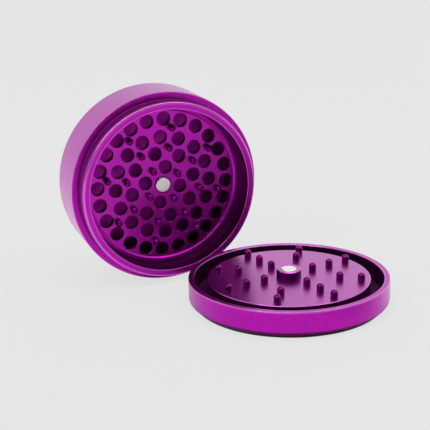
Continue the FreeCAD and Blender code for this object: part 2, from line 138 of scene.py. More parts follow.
def plain(title, value, text):
    """A plain number."""
    return bpy.props.FloatProperty(name=title, description=text, default=value)


def position(title, value, text):
    """A place in the shared frame, in metres."""
    return bpy.props.FloatVectorProperty(name=title, description=text, default=value, size=3,
                                         subtype="TRANSLATION")


def colour(title, value, text):
    """A colour property in linear light."""
    return bpy.props.FloatVectorProperty(name=title, description=text, default=value, size=3, subtype="COLOR",
                                         min=0.0, max=1.0)


class MILL_PG_body(bpy.types.PropertyGroup):
    """Sizes of the cup, the mill ring and the plate, with heights above the base of the cup."""
    outer: length("Outer radius", (CUP_HIGH.x - CUP_LOW.x) / 2, "Outside of the cup")
    shoulder: length("Shoulder height", CUP_HIGH.y - CUP_LOW.y, "Cup, from its base to its open end")
    rim: length("Rim height", CUP_BASE_Y - RING_LOW.y, "Rim of the spigot above the base of the cup")
    neck_foot: length("Neck foot", CUP_BASE_Y - RING_HIGH.y, "Lower end of the threaded neck")
    plate_back: length("Plate back", CUP_BASE_Y - PLATE_HIGH.y, "Back of the milling plate")
    plate_face: length("Plate face", CUP_BASE_Y - PLATE_LOW.y, "Face of the milling plate")
    plate: length("Plate radius", (PLATE_HIGH.x - PLATE_LOW.x) / 2, "Outside of the milling plate")
    cup_floor: mm("Cup floor", 2.0, "Thickness of the cup's floor")
    base_bevel: mm("Base bevel", 1.2, "Bevel round the base of the cup")
    bore: mm("Cup bore", 28.45, "Radius of the cup at the crests of its thread")
    chamber: mm("Chamber", 27.25, "Radius of the collecting chamber")
    step: mm("Step height", 11.4, "Step that the flat seal lies on")
    spigot: mm("Spigot radius", 29.35, "Outside of the spigot")
    mouth: mm("Mouth radius", 27.0, "Inside of the spigot at its rim")
    seat: mm("Seat radius", 26.8, "Bore that takes the plate")
    ledge: mm("Ledge radius", 25.8, "Inside of the ledge under the plate")
    neck: mm("Neck radius", 28.3, "Neck below the thread's ridge")
    flange: mm("Flange gap", 0.05, "Room between the shoulder and the spigot's foot")
    groove_foot: mm("Groove foot", 0.55, "Lower edge of the seal groove above the shoulder")
    groove_top: mm("Groove top", 1.45, "Upper edge of the seal groove above the shoulder")
    groove: mm("Groove radius", 28.75, "Bottom of the seal groove")
    seal_half: mm("Seal half section", 0.4, "Half the thickness of the round seal")
    seal_ring: mm("Seal ring", 29.2, "Radius of the middle of the round seal")
    seal_height: mm("Seal height", 1.0, "Middle of the round seal above the shoulder")
    retainer: mm("Retainer height", 0.5, "Flat ring above the plate")
    retainer_foot: mm("Retainer foot", 1.75, "Width of the ring on the plate")
    retainer_crest: mm("Retainer crest", 1.12, "Width of the ring at its top, inside its bevel")


class MILL_PG_thread(bpy.types.PropertyGroup):
    """Sizes of the screw thread between the cup and the mill ring."""
    lead: mm("Lead", 2.0, "Travel in one turn")
    depth: mm("Depth", 0.55, "Height of the ridge and depth of the groove")
    crest_half: mm("Crest half width", 0.25, "Half the width of the ridge at its top")
    slope: mm("Flank width", 0.3, "Width that each flank adds to the ridge")
    start: mm("Start", 13.35, "Height of the ridge's middle where it starts, at angle 0")
    turns: plain("Turns", 2.0, "Turns of the ridge")
    lead_in: plain("Lead-in", -0.125, "Turn at which the cup's groove starts")
    room: mm("Room", 0.15, "Room between the ridge and the groove")
    row_step: mm("Row step", 0.09, "Distance of the rows of the surface along the thread")
    run_out: plain("Run-out", 0.04, "Part of a turn over which the ridge fades")


class MILL_PG_pattern(bpy.types.PropertyGroup):
    """Sizes and turns of the pegs, holes and magnets."""
    inner_ring: mm("Inner ring", 6.07, "Radius of the innermost ring of pegs")
    ring_step: mm("Ring step", 3.35, "Distance from one ring of pegs to the next")
    plate_turn: turn_angle("Plate turn", 35.0, "Turn of the plate's pattern")
    rotor_turn: turn_angle("Rotor turn", 12.4, "Turn of the rotor's pattern")
    hole: mm("Hole radius", 2.4, "Holes of the plate")
    hole_break: mm("Hole edge", 0.05, "Rounding of the holes' edges")
    peg: mm("Peg radius", 1.15, "Pegs of the plate and of the rotor")
    peg_height: mm("Peg height", 2.6, "How far a peg stands out")
    peg_dome: mm("Peg dome", 0.9, "Height of a peg's rounded end")
    peg_seat: mm("Peg seat", 3.0, "How deep a peg sits in the rotor")
    magnet: mm("Magnet radius", 2.5, "Both magnets")
    magnet_sunk: mm("Magnet depth", 2.0, "How deep the magnets sit")
    plate_magnet_out: mm("Plate magnet height", 0.6, "How far the plate's magnet stands out")
    moat: mm("Moat width", 0.45, "Open ring round the plate's magnet")
    moat_depth: mm("Moat depth", 0.8, "Depth of that ring")


class MILL_PG_lid(bpy.types.PropertyGroup):
    """Sizes of the lid and the rotor, with heights above the lid's outer face."""
    outer: length("Outer radius", (LID_HIGH.x - LID_LOW.x) / 2, "Outside of the lid")
    height: length("Lid height", LID_HIGH.z, "Rim of the skirt")
    rotor: length("Rotor radius", (ROTOR_HIGH.x - ROTOR_LOW.x) / 2, "Outside of the rotor disc")
    rotor_back: length("Rotor back", ROTOR_LOW.z, "Back of the rotor disc")
    rotor_face: length("Rotor face", ROTOR_HIGH.z, "Face of the rotor disc")
    floor: mm("Lid floor", 2.6, "Thickness of the lid under its groove")
    bevel: mm("Face bevel", 2.2, "Bevel round the lid's outer face")
    skirt: mm("Skirt radius", 29.9, "Inside of the skirt")
    hub: mm("Hub radius", 3.9, "Boss in the middle of the rotor")
    hub_height: mm("Hub height", 2.6, "Boss above the rotor's face")
    hub_bevel: mm("Hub bevel", 0.2, "Bevel round the top of the boss")
    shank: mm("Shank radius", 3.0, "Shank of the boss")
    shank_reach: mm("Shank reach", 1.4, "How deep the shank goes into the lid")
    magnet_out: mm("Magnet height", 0.1, "How far the lid's magnet stands out")
    washer_room: mm("Washer room", 0.3, "Room beside the slip washer")
    washer_foot: mm("Washer foot", 2.65, "Lower face of the slip washer")
    washer: mm("Washer thickness", 0.5, "Slip washer")


class MILL_PG_finish(bpy.types.PropertyGroup):
    """Edges, colours and surface of the metals and the soft rings."""
    turned_edge: mm("Turned edge", 0.3, "Rounding of the outer turned edges")
    fine_edge: mm("Fine edge", 0.12, "Rounding of the finer edges")
    seat_edge: mm("Seat edge", 0.04, "Broken edge of the seats that the pegs and the magnet fill")
    soft_edge: mm("Soft edge", 0.8, "Rounding of the soft edge above the lid's bevel")
    base_edge: mm("Base edge", 0.6, "Rounding round the two flat bases and inside the retainer")
    rim_edge: mm("Rim edge", 0.5, "Rounding of the outer edge of the spigot's rim")
    wear_limit: mm("Wear limit", 0.55, "Roundings wider than this don't wear to a line")
    wear_width: mm("Wear width", 0.25, "Width of the paler line along an edge")
    dye: colour("Dye", (0.50, 0.005, 0.455), "Purple dye of the anodised metal")
    dye_pale: colour("Worn dye", (0.74, 0.15, 0.69), "Dye where an edge is worn")
    skin: share("Oxide skin", 0.9, "Weight of the clear oxide skin, which shows at flat angles")
    skin_roughness: share("Skin roughness", 0.25, "Roughness of the oxide skin")
    skin_ior: plain("Skin index", 1.21, "Index of refraction of the skin")
    turned_ior: plain("Turned index", 1.27, "Index of the skin on turned faces")
    faced_ior: plain("Faced index", 1.46, "Index of the skin on the rotor's face")
    blasted: share("Blasted roughness", 0.36, "Roughness of the blasted outside")
    turned: share("Turned roughness", 0.28, "Roughness of the turned faces")
    faced: share("Faced roughness", 0.34, "Roughness of the rotor's face")
    peg_roughness: share("Peg roughness", 0.22, "Roughness of the pegs")
    bore_roughness: share("Bore roughness", 0.06, "Roughness that bores and hole walls have on top")
    # Painted shade: these shares paint the colour darker, as shade, in bores, on hole walls and pegs, on the
    # boss's side and on the lid's bevel
    painted_shade_depth: share("Painted shade depth", 0.75, "How much deeper the dye is in bores")
    hole_painted_shade: share("Hole painted shade", 0.3, "Share of that depth on the walls of the holes")
    peg_painted_shade: share("Peg painted shade", 0.75, "Share of that depth on the pegs")
    nickel: colour("Nickel", (0.95, 0.95, 0.94), "Plating of the magnets")
    rubber: colour("Rubber", (0.13, 0.008, 0.12), "Round and flat seals, dyed dark purple")
    nylon: colour("Nylon", (0.035, 0.002, 0.032), "Slip washer")
    steel: colour("Steel", (0.56, 0.56, 0.58), "Dowels")


class MILL_PG_stage(bpy.types.PropertyGroup):
    """Camera, floor and light."""
    backdrop: colour("Backdrop", (0.783, 0.783, 0.783), "Pale grey of the floor and the backdrop")
    floor_glow: share("Floor glow", 0.9, "Share of the backdrop's colour that the camera sees on it")
    mirror_glow: share("Mirrored glow", 0.05, "Share of that colour that metal mirrors")
    # Painted shade: a dark patch on the floor that only the metal mirrors, which darkens its reflections
    # there
    painted_shade_patch: position("Painted shade patch", (0.055, -0.08, 0.0), "Middle of a dark card on the floor, only mirrored")
    painted_patch_inner: mm("Patch middle", 20.0, "Radius within which the card is dark")
    painted_patch_outer: mm("Patch edge", 65.0, "Radius at which the card ends")
    painted_patch_depth: share("Patch depth", 0.85, "How dark the card is")
    tent: colour("Tent", (0.84, 0.84, 0.84), "Cloth of the tent, as the metal mirrors it")
    seam_place: plain("Seam place", -0.34, "Y direction in which the strip of light lies")
    seam_half: plain("Seam half width", 0.14, "Half the width of the strip, as a change of direction")
    seam_end: plain("Seam end", 0.7, "X direction in which the strip ends")
    seam_foot: plain("Seam foot", 0.35, "Z direction in which the strip starts")
    seam_full: plain("Seam full", 0.6, "Z direction from which the strip is at its brightest")
    seam_power: plain("Seam power", 6.0, "Brightness of the strip")
    opening: colour("Opening", (0.06, 0.06, 0.06), "Dark openings of the tent, overhead and round the camera")
    opening_outer: plain("Opening edge", 0.1, "Cosine of the angle at which the opening starts to darken")
    opening_inner: plain("Opening middle", 0.55, "Cosine of the angle within which the opening is dark")
    ceiling_foot: turn_angle("Ceiling foot", 58.0, "Elevation at which the tent starts to darken")
    ceiling_top: turn_angle("Ceiling top", 85.0, "Elevation above which the tent is dark")
    lamp: position("Lamp place", (-0.10, 0.05, 0.70), "Middle of the soft lamp above")
    lamp_aim: position("Lamp aim", (-0.015, 0.02, 0.03), "Where the lamp points")
    lamp_width: length("Lamp width", 0.6, "Both sides of the lamp")
    lamp_power: plain("Lamp power", 1.0, "Power of the lamp in watts")
    eye: position("Camera place", (-0.1354, -0.3029, 0.1305), "Where the camera stands")
    heading: turn_angle("Heading", 20.12, "Camera's turn from +Y towards +X")
    dip: turn_angle("Dip", 17.04, "How far the camera looks down")
    roll: turn_angle("Roll", -1.11, "Camera's turn about its line of sight")
    lens: plain("Lens", 93.35, "Focal length in mm on a 36 mm wide frame")


class MILL_PG_settings(bpy.types.PropertyGroup):
    """All settings of the mill."""
    body: bpy.props.PointerProperty(type=MILL_PG_body)
    thread: bpy.props.PointerProperty(type=MILL_PG_thread)
    pattern: bpy.props.PointerProperty(type=MILL_PG_pattern)
    lid: bpy.props.PointerProperty(type=MILL_PG_lid)
    finish: bpy.props.PointerProperty(type=MILL_PG_finish)
    stage: bpy.props.PointerProperty(type=MILL_PG_stage)


def settings():
    """The scene's settings of the mill."""
    return bpy.context.scene.hand_mill


# Frame of the cup


def cup_normals(normals):
    """Directions of the cup's own frame in the shared frame: its Z axis lies along -Y."""
    return np.stack([normals[..., 0], -normals[..., 2], normals[..., 1]], -1)


def cup_points(points):
    """Points of the cup's own frame, which starts in the middle of its base, in the shared frame."""
    return cup_normals(points) + CUP_ORIGIN


# Surfaces


def unit(vectors):
    """Vectors of length 1 along the given ones."""
    return vectors / np.linalg.norm(vectors, axis=-1, keepdims=True)


def rounded_profile(corners, closed, support, wear_limit):
    """Profile whose corners are rounded, as points, normals and edge marks.

    A corner with rounding f between two sides that meet at the angle a has an arc with its centre at
    f / sin(a / 2) on the angle's bisector. It touches the sides f / tan(a / 2) from the corner. The points
    and normals of the arc turn evenly from one touching point to the other. A support point follows on each
    side, where the edge mark has gone back to 0. Mark 1 is a narrow edge that stands out, 0 is a flat, a
    hollow or a wide rounding.
    """
    corners = np.array(corners, float)
    place = corners[:, :2]
    inner = slice(None) if closed else slice(1, -1)
    spot = place[inner]
    rounding = corners[inner, 2]
    back_side = (np.roll(place, 1, axis=0) - place)[inner]
    ahead_side = (np.roll(place, -1, axis=0) - place)[inner]
    back = unit(back_side)
    ahead = unit(ahead_side)
    opening = np.arccos(np.clip((back * ahead).sum(1), -1, 1))
    half = opening / 2
    touch = rounding / np.tan(half)
    middle = spot + unit(back + ahead) * (rounding / np.sin(half))[:, None]
    start = spot + back * touch[:, None]
    end = spot + ahead * touch[:, None]
    turn = (math.pi - opening)[:, None, None]
    part = np.linspace(0, 1, ARC_STEPS + 1)[None, :, None]
    first = np.sin((1 - part) * turn) / np.sin(turn)
    last = np.sin(part * turn) / np.sin(turn)
    arc = middle[:, None] + first * (start - middle)[:, None] + last * (end - middle)[:, None]
    normal_in = np.stack([-back[:, 1], back[:, 0]], -1)
    normal_out = np.stack([ahead[:, 1], -ahead[:, 0]], -1)
    arc_normals = first * normal_in[:, None] + last * normal_out[:, None]
    out = -back[:, 0] * ahead[:, 1] + back[:, 1] * ahead[:, 0] > 0
    marks = np.repeat((out & (rounding < wear_limit))[:, None].astype(float), ARC_STEPS + 1, axis=1)

    def support_point(direction, side):
        reach = np.minimum(touch + support, np.linalg.norm(side, axis=1) * SUPPORT_SHARE)
        return spot + direction * np.maximum(reach, touch * SUPPORT_CLEAR)[:, None]

    near = support_point(back, back_side)
    far = support_point(ahead, ahead_side)
    points = np.concatenate([near[:, None], arc, far[:, None]], 1).reshape(-1, 2)
    normals = np.concatenate([normal_in[:, None], arc_normals, normal_out[:, None]], 1).reshape(-1, 2)
    flat = np.zeros((len(marks), 1))
    marks = np.concatenate([flat, marks, flat], 1).reshape(-1)
    if not closed:
        points = np.concatenate([place[:1], points, place[-1:]])
        normals = np.concatenate([normals[:1], normals, normals[-1:]])
        marks = np.concatenate([[0.0], marks, [0.0]])
    return points, normals, marks


def insert_rows(profile, low, high, radius, step):
    """Profile with more rows on its longest side at one radius, and which rows lie between two heights."""
    points, normals, marks = profile
    on_side = np.isclose(points[:, 0], radius, atol=SAME_RADIUS)
    rows = np.flatnonzero(on_side & np.roll(on_side, -1))
    spans = np.abs(points[(rows + 1) % len(points), 1] - points[rows, 1])
    row = rows[np.argmax(spans)]
    start = points[row, 1]
    stop = points[row + 1, 1]
    count = int(abs(stop - start) / step)
    heights = np.linspace(start, stop, count + 2)[1:-1]
    extra = np.stack([np.full(count, radius), heights], -1)
    points = np.insert(points, row + 1, extra, axis=0)
    normals = np.insert(normals, row + 1, np.repeat(normals[row][None], count, 0), axis=0)
    marks = np.insert(marks, row + 1, np.zeros(count))
    on_side = np.abs(points[:, 0] - radius) < SAME_RADIUS
    threaded = on_side & (points[:, 1] > low) & (points[:, 1] < high)
    return (points, normals, marks), threaded


def turned_surface(profile, segments, closed, relief=None, relief_rows=None):
    """Surface of a profile turned about the Z axis: x = r cos t, y = r sin t, z = h, with t round the axis.

    It is given as points, normals, marks, quads and triangles. A relief is a function of the angle and the
    height that is added to the radius of some rows. Their normals are 0 and follow from the mesh.
    """
    points, normals, marks = profile
    angle = np.linspace(0, FULL_TURN, segments, endpoint=False)
    radius = np.repeat(points[:, :1], segments, 1)
    height = np.repeat(points[:, 1:], segments, 1)
    if relief is not None:
        radius[relief_rows] += relief(angle[None, :], height[relief_rows])
    cosine = np.cos(angle)
    sine = np.sin(angle)
    grid = np.stack([radius * cosine, radius * sine, height], -1)
    across = np.repeat(normals[:, :1], segments, 1)
    up = np.repeat(normals[:, 1:], segments, 1)
    directions = np.stack([across * cosine, across * sine, up], -1)
    if relief is not None:
        directions[relief_rows] = 0.0
    index = np.arange(grid.shape[0] * segments).reshape(grid.shape[:2])
    poles = points[:, 0] < ON_AXIS
    index[poles] = index[poles][:, :1]
    lower = index if closed else index[:-1]
    upper = np.roll(index, -1, 0) if closed else index[1:]
    quads = np.stack([lower, np.roll(lower, -1, 1), np.roll(upper, -1, 1), upper], -1).reshape(-1, 4)
    marks = np.repeat(marks, segments, 0)
    return (grid.reshape(-1, 3), directions.reshape(-1, 3), marks, *split_poles(quads))


def split_poles(quads):
    """Quads with four corners, and triangles from those that have two corners in one place."""
    low = quads[:, 0] == quads[:, 1]
    high = quads[:, 2] == quads[:, 3]
    triangles = np.concatenate([quads[low][:, [0, 2, 3]], quads[high][:, [0, 1, 2]]])
    return quads[~(low | high)], triangles


def make_piece(node, surface, material, body, in_cup=False):
    """New mesh object that rides on a body and stands for a node, with exact normals.

    The surface is given as points, normals, marks of worn edges and of painted shade, quads and triangles.
    That of a piece in the cup is given in the cup's own frame.
    """
    points, normals, marks, quads, triangles = surface
    if in_cup:
        points = cup_points(points)
        normals = cup_normals(normals)
    used, flat = np.unique(np.concatenate([quads.ravel(), triangles.ravel()]), return_inverse=True)
    quads = flat[:quads.size].reshape(-1, 4)
    triangles = flat[quads.size:].reshape(-1, 3)
    name = f"{node}_finish"
    mesh = bpy.data.meshes.new(name)
    mesh.from_pydata(points[used], [], quads.tolist() + triangles.tolist())
    mesh.shade_smooth()
    # The second mark is that of painted shade, a darker colour
    for title, column in (("edge_mark", 0), ("painted_shade_mark", 1)):
        layer = mesh.attributes.new(title, "FLOAT", "POINT")
        layer.data.foreach_set("value", marks[used, column].astype(np.float32))
    mesh.normals_split_custom_set_from_vertices(normals[used])
    mesh.materials.append(material)
    mesh.validate()
    piece = bpy.data.objects.new(name, mesh)
    bpy.context.scene.collection.objects.link(piece)
    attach(piece, body)
    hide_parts(node)


def turned_piece(node, corners, material, body, in_cup=False, closed=False,
                 segments=TURN_SEGMENTS, bores=(), thread=None, worn=True):
    """A turned piece from the corners of its half section: radius, height and rounding of each corner.

    Each zone of the bores is a radius and two heights: what lies within them is marked for painted shade, a
    darker colour without the oxide skin. A thread is a radius, two heights and a relief. The edges of a piece
    that isn't worn have no paler lines.
    """
    finish = settings().finish
    profile = rounded_profile(corners, closed, finish.wear_width, finish.wear_limit if worn else 0.0)
    relief = None
    rows = None
    if thread is not None:
        radius, low, high, relief = thread
        profile, rows = insert_rows(profile, low, high, radius, settings().thread.row_step)
    spots, sides, edges = profile
    inner = np.zeros(len(spots), bool)
    # Points within these zones get the mark of painted shade
    for radius, low, high in bores:
        inner |= (spots[:, 0] < radius + BORE_MARGIN) & (spots[:, 1] > low) & (spots[:, 1] < high)
    profile = (spots, sides, np.stack([edges, inner], -1))
    surface = turned_surface(profile, segments, closed, relief, rows)
    make_piece(node, surface, material, body, in_cup)


def ridge_relief(thread, first_turn, last_turn, widen):
    """Height of a thread over its surface, as a function of the angle and the height on the piece.

    Turn number n of the thread has its middle at start + lead * (angle / full turn + n). The section is a
    trapezium that falls from the depth to 0 over the flank, and it fades in and out at the thread's ends.
    """
    crest = thread.crest_half + widen
    foot = crest + thread.slope
    start, lead, depth, run_out = thread.start, thread.lead, thread.depth, thread.run_out

    def relief(angle, height):
        result = np.zeros(np.broadcast(angle, height).shape)
        for number in range(math.floor(first_turn), math.ceil(last_turn) + 1):
            turns = angle / FULL_TURN + number
            middle = start + lead * turns
            section = np.clip((foot - np.abs(height - middle)) / (foot - crest), 0, 1)
            ends = np.clip(np.minimum(turns - first_turn, last_turn - turns) / run_out + 0.5, 0, 1)
            result = np.maximum(result, section * ends)
        return result * depth

    return relief


def ring_places(rings, pattern, start):
    """Number, x and y of every place in rings of evenly spaced holes or pegs."""
    number = 0
    for count, steps in rings:
        radius = pattern.inner_ring + pattern.ring_step * steps
        for index in range(count):
            number += 1
            angle = start + FULL_TURN * index / count
            yield number, radius * math.cos(angle), radius * math.sin(angle)


def flat_triangles(outlines, inside):
    """Triangles of a flat face between outlines, with holes left open.

    The outlines are edges of a Delaunay net, and triangles whose middle isn't inside are left out.
    """
    points = np.concatenate(outlines)
    counts = [len(outline) for outline in outlines]
    firsts = np.cumsum([0] + counts[:-1])
    edges = np.concatenate([
        np.stack([first + np.arange(count), first + (np.arange(count) + 1) % count], -1)
        for first, count in zip(firsts, counts)])
    scaled = (points / MM).tolist()
    net = delaunay_2d_cdt([Vector(point) for point in scaled], edges.tolist(), [], 0, NET_LIMIT, True)
    origin = np.array([sources[0] for sources in net[3]])
    triangles = origin[np.array(net[2])]
    middles = points[triangles].mean(1)
    return triangles[inside(middles)]


def edge_profile(radius, low, high, rounding, side):
    """Rounded wall between two flat faces: rows of radius and height, and their normals.

    Side 1 is the outside of a disc and side -1 is the wall of a hole. With u from 0 to a quarter turn the
    upper edge is r = radius - side * rounding * (1 - sin u), z = high - rounding * (1 - cos u). The lower
    edge mirrors it.
    """
    angle = np.linspace(0, math.pi / 2, ARC_STEPS + 1)
    inset = side * rounding * (1 - np.sin(angle))
    top = np.stack([radius - inset, high - rounding * (1 - np.cos(angle))], -1)
    bottom = np.stack([top[::-1, 0], low + high - top[::-1, 1]], -1)
    top_normals = np.stack([side * np.sin(angle), np.cos(angle)], -1)
    bottom_normals = np.stack([top_normals[::-1, 0], -top_normals[::-1, 1]], -1)
    return np.concatenate([top, bottom]), np.concatenate([top_normals, bottom_normals])


class DrilledDisc:
    """Flat disc with round holes.

    Its walls are profiles turned about the axis of each hole, and its faces are flat nets between the walls.
    """

    def __init__(self, radius, low, high, rounding):
        self.radius = radius
        self.low = low
        self.high = high
        # Share of painted shade, a darker colour, on the walls of the holes
        self.depth = settings().finish.hole_painted_shade
        self.points = []
        self.normals = []
        self.marks = []
        self.quads = []
        self.floors = []
        self.top = []
        self.bottom = []
        self.holes = []
        self.count = 0
        self.wall((0.0, 0.0), edge_profile(radius, low, high, rounding, 1), TURN_SEGMENTS, outer=True)

    def wall(self, middle, profile, segments, outer=False, blind=False):
        """Add one turned wall, and note where it meets the faces."""
        rows, directions = profile
        edge = np.zeros(len(rows))
        if not blind:
            edge[1:ARC_STEPS] = 1.0
        # Hole walls below the top edge get painted shade
        inner = (rows[:, 1] < self.high - (rows[0, 1] - rows[1, 1])) & (not outer)
        marks = np.stack([edge, inner * self.depth], -1)
        points, normals, marks, quads, _ = turned_surface((rows, directions, marks), segments, False)
        index = self.count + np.arange(len(points)).reshape(-1, segments)
        self.points.append(points + (*middle, 0.0))
        self.normals.append(normals)
        self.marks.append(marks)
        self.quads.append(self.count + (quads[:, ::-1] if outer else quads))
        self.top.append(index[0])
        if not blind:
            self.bottom.append(index[-1])
        if not outer:
            self.holes.append((*middle, rows[0, 0]))
        self.count += len(points)

    def through_hole(self, middle, radius, rounding, segments):
        """Add a hole that goes through the disc, with rounded edges."""
        self.wall(middle, edge_profile(radius, self.low, self.high, rounding, -1), segments)

    def blind_hole(self, middle, steps, edge, segments):
        """Add a hole with a flat floor, from steps of radius and floor height, with broken edges."""
        up = (0.0, 1.0)
        inward = (-1.0, 0.0)
        rows = []
        normals = []
        top = self.high
        for radius, floor in steps:
            rows += [(radius + edge, top), (radius, top - edge)]
            rows += [(radius, floor + edge), (radius - edge, floor)]
            normals += [up, inward, inward, up]
            top = floor
        rows = rows[:-2] + [steps[-1]]
        normals = normals[:-1]
        loop = self.count + (len(rows) - 1) * segments + np.arange(segments)
        self.wall(middle, (np.array(rows), np.array(normals)), segments, blind=True)
        self.floors.append(np.stack([np.full(segments - 2, loop[0]), loop[1:-1], loop[2:]], -1))

    def surface(self):
        """All arrays of the disc, with the nets of its two faces and the floors of its blind holes."""
        points = np.concatenate(self.points)
        holes = np.array(self.holes)

        def inside(middles):
            away = np.linalg.norm(middles[:, None] - holes[None, :, :2], axis=2)
            clear = (away > holes[:, 2] * HOLE_MARGIN).all(1)
            return clear & (np.linalg.norm(middles, axis=1) < self.radius)

        triangles = []
        for loops, flip in ((self.top, False), (self.bottom, True)):
            net = flat_triangles([points[loop][:, :2] for loop in loops], inside)
            net = np.concatenate(loops)[net]
            corner = points[net][:, :, :2]
            side = corner[:, 1] - corner[:, 0]
            other = corner[:, 2] - corner[:, 0]
            left = side[:, 0] * other[:, 1] - side[:, 1] * other[:, 0] > 0
            wrong = left == flip
            net[wrong] = net[wrong][:, ::-1]
            triangles.append(net)
        arrays = (self.normals, self.marks, self.quads, triangles + self.floors)
        return (points, *(np.concatenate(array) for array in arrays))


# Materials


def feed(tree, node, inputs):
    """Give inputs of a node fixed values, or link other nodes' outputs to them."""
    for title, value in inputs.items():
        if isinstance(value, bpy.types.NodeSocket):
            tree.links.new(value, node.inputs[title])
        else:
            node.inputs[title].default_value = value


def add_node(tree, kind, inputs, **choices):
    """Add a node with some choices made and some inputs fed, and give its outputs."""
    node = tree.nodes.new(kind)
    for title, value in choices.items():
        setattr(node, title, value)
    feed(tree, node, inputs)
    return node.outputs


def math_node(tree, operation, *values):
    """A number worked out from sockets or numbers."""
    return add_node(tree, "ShaderNodeMath", dict(enumerate(values)), operation=operation)[0]


def vector_value(tree, operation, first, second):
    """A number worked out from two vectors."""
    return add_node(tree, "ShaderNodeVectorMath", {0: first, 1: second}, operation=operation)["Value"]


def split_vector(tree, vector):
    """X, Y and Z of a vector."""
    return add_node(tree, "ShaderNodeSeparateXYZ", {0: vector})


def smooth_step(tree, value, low, high):
    """A value's smooth rise from 0 at one limit to 1 at the other."""
    limits = {"Value": value, "From Min": low, "From Max": high}
    return add_node(tree, "ShaderNodeMapRange", limits, interpolation_type="SMOOTHSTEP")["Result"]


def noise_node(tree, vector, scale, detail, roughness):
    """A noise value on a vector."""
    inputs = {"Vector": vector, "Scale": scale, "Detail": detail, "Roughness": roughness}
    return add_node(tree, "ShaderNodeTexNoise", inputs)["Fac"]


def mix_colour(tree, factor, first, second):
    """A colour mixed from two by a factor."""
    return add_node(tree, "ShaderNodeMix", {0: factor, 6: first, 7: second}, data_type="RGBA")[2]


def shade_colour(tree, tone, brightness):
    """A colour times a brightness."""
    return add_node(tree, "ShaderNodeHueSaturation", {"Color": tone, "Value": brightness})[0]


def mark_value(tree, name):
    """The value of a mark of the mesh."""
    return add_node(tree, "ShaderNodeAttribute", {}, attribute_name=name)["Fac"]


def coordinates(tree, kind):
    """A kind of texture coordinates."""
    return add_node(tree, "ShaderNodeTexCoord", {})[kind]


def new_group(name, inputs):
    """An empty shader node group that gives a colour, a roughness and a height.

    Each input has a default: a colour, a number, or None for a vector.
    """
    group = bpy.data.node_groups.new(name, "ShaderNodeTree")
    kinds = {tuple: "NodeSocketColor", float: "NodeSocketFloat", type(None): "NodeSocketVector"}
    for title, value in inputs.items():
        socket = group.interface.new_socket(title, in_out="INPUT", socket_type=kinds[type(value)])
        if value is not None:
            socket.default_value = value
    for title, kind in (("Color", tuple), ("Roughness", float), ("Height", float)):
        group.interface.new_socket(title, in_out="OUTPUT", socket_type=kinds[kind])
    return group, group.nodes.new("NodeGroupInput").outputs, group.nodes.new("NodeGroupOutput")


def use_group(tree, name, maker, inputs):
    """The outputs of a group that is built once, with its inputs fed."""
    group = bpy.data.node_groups.get(name) or maker()
    return add_node(tree, "ShaderNodeGroup", inputs, node_tree=group)


def turned_metal_group():
    """Lathe lines, blasted grain and slow tint over a turned piece whose axis is Z.

    The lines are noise on the radius and the height, so they run round the axis. The grain is fine noise. The
    Bore input marks painted shade: there the colour is painted darker and the roughness rises.
    """
    group, given, result = new_group("turned_metal", {
        "Vector": None, "Dye": (0.5, 0.02, 0.42, 1.0), "Worn Dye": (0.66, 0.16, 0.6, 1.0), "Edge": 0.0,
        "Bore": 0.0, "Painted Shade Depth": 0.5, "Bore Roughness": 0.25, "Lines": 0.5, "Grain": 0.5, "Roughness": 0.3})

    def combine(operation, *values):
        return math_node(group, operation, *values)

    x, y, z = split_vector(group, given["Vector"])
    radius = combine("SQRT", combine("MULTIPLY_ADD", y, y, combine("MULTIPLY", x, x)))
    section = add_node(group, "ShaderNodeCombineXYZ", {0: radius, 1: z})[0]
    lines = noise_node(group, section, scale=5200.0, detail=3.0, roughness=0.6)
    grain = noise_node(group, given["Vector"], scale=3000.0, detail=2.0, roughness=0.6)
    speck = noise_node(group, given["Vector"], scale=2600.0, detail=3.0, roughness=0.65)
    cloud = noise_node(group, given["Vector"], scale=60.0, detail=2.0, roughness=0.5)
    line_part = combine("MULTIPLY", combine("SUBTRACT", lines, 0.5), given["Lines"])
    grain_wave = combine("SUBTRACT", combine("ADD", grain, speck), 1.0)
    grain_part = combine("MULTIPLY", grain_wave, given["Grain"])
    height = combine("ADD", line_part, grain_part)
    flat = combine("SUBTRACT", 1.0, given["Edge"])
    uneven = combine("MULTIPLY_ADD", height, RELIEF_ROUGHNESS, given["Roughness"])
    worn = combine("MULTIPLY_ADD", given["Edge"], WORN_ROUGHNESS, uneven)
    etched = combine("MULTIPLY_ADD", given["Bore"], given["Bore Roughness"], worn)
    ragged = combine("MULTIPLY", combine("MULTIPLY_ADD", speck, *SPECK_WEAR), given["Edge"])
    rubbed = mix_colour(group, ragged, given["Dye"], given["Worn Dye"])
    tint = combine("MULTIPLY_ADD", cloud, *CLOUD_TINT)
    dotted = combine("MULTIPLY_ADD", combine("MULTIPLY", grain_part, flat), GRAIN_TINT, tint)
    # Painted shade: where the Bore input is set, the colour is painted darker
    clear = combine("SUBTRACT", 1.0, combine("MULTIPLY", given["Bore"], given["Painted Shade Depth"]))
    toned = combine("MULTIPLY", dotted, clear)
    feed(group, result, {"Color": shade_colour(group, rubbed, toned), "Roughness": etched,
                         "Height": combine("MULTIPLY", height, flat)})
    return group


